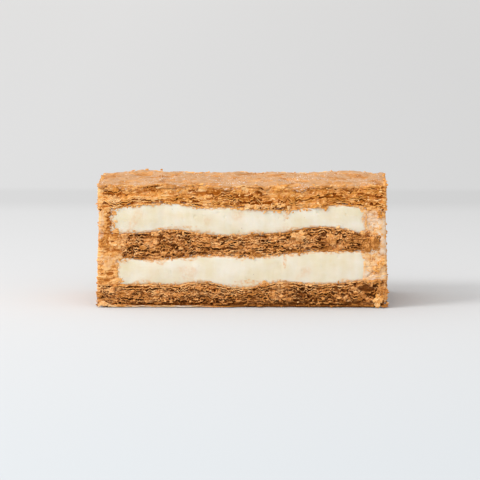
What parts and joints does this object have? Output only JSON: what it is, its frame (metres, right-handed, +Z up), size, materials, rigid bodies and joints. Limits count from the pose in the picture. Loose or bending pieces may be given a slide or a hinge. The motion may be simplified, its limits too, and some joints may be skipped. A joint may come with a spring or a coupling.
{
  "type": "mille feuille slice",
  "caption": "Slice of layered puff pastry and set vanilla cream, cut to a block, with crumb-coated ends, that rests on a plate or counter.",
  "frame": {"origin": "centre of the slice's box at the base that it rests on", "axes": "+X along the slice, from one crumb-coated end to the other; +Y from the front cut face to the cut face behind; +Z up through the layers"},
  "size_m": [0.1118, 0.0494, 0.0481],
  "materials": {
    "golden_crust": "matt golden baked pastry with a thin sugar glaze",
    "brown_sheet": "matt brown baked pastry leaves",
    "vanilla_cream": "smooth satin ivory cream",
    "pastry_crumb": "matt golden crumbs"
  },
  "bodies": {
    "root": {"pastry_bottom": "brown_sheet", "cream_lower": "vanilla_cream", "pastry_middle": "brown_sheet", "cream_upper": "vanilla_cream", "pastry_top": "golden_crust", "crumb_coat_left": "pastry_crumb", "crumb_coat_right": "pastry_crumb"}
  },
  "joints": []
}
